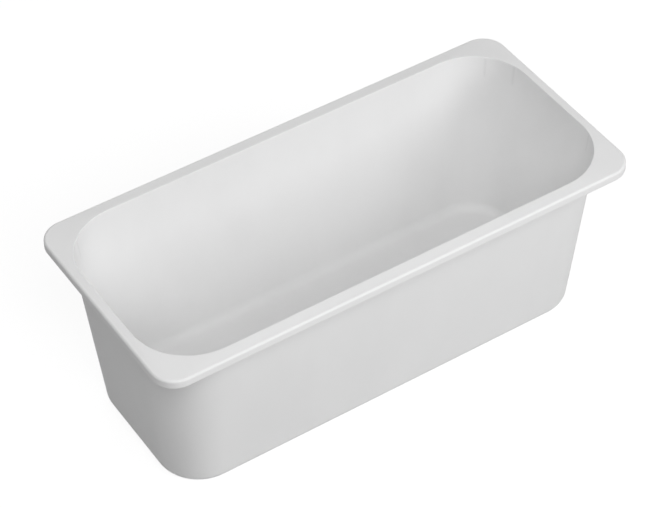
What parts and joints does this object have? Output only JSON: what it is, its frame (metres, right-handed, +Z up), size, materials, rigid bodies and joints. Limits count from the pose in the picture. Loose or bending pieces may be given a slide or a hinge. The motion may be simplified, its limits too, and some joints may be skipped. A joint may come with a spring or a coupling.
{
  "type": "freezer tub",
  "caption": "Long open-topped plastic tub with sloping walls, rounded corners and a flat rim whose edge turns down into a lip.",
  "frame": {"origin": "centre of the foot, at the bottom of the tub", "axes": "+X along the tub's long sides, +Y across it, +Z up towards the opening"},
  "size_m": [0.36, 0.165, 0.134],
  "materials": {
    "tub_plastic": "satin moulded white"
  },
  "bodies": {
    "root": {"tub": "tub_plastic"}
  },
  "joints": []
}
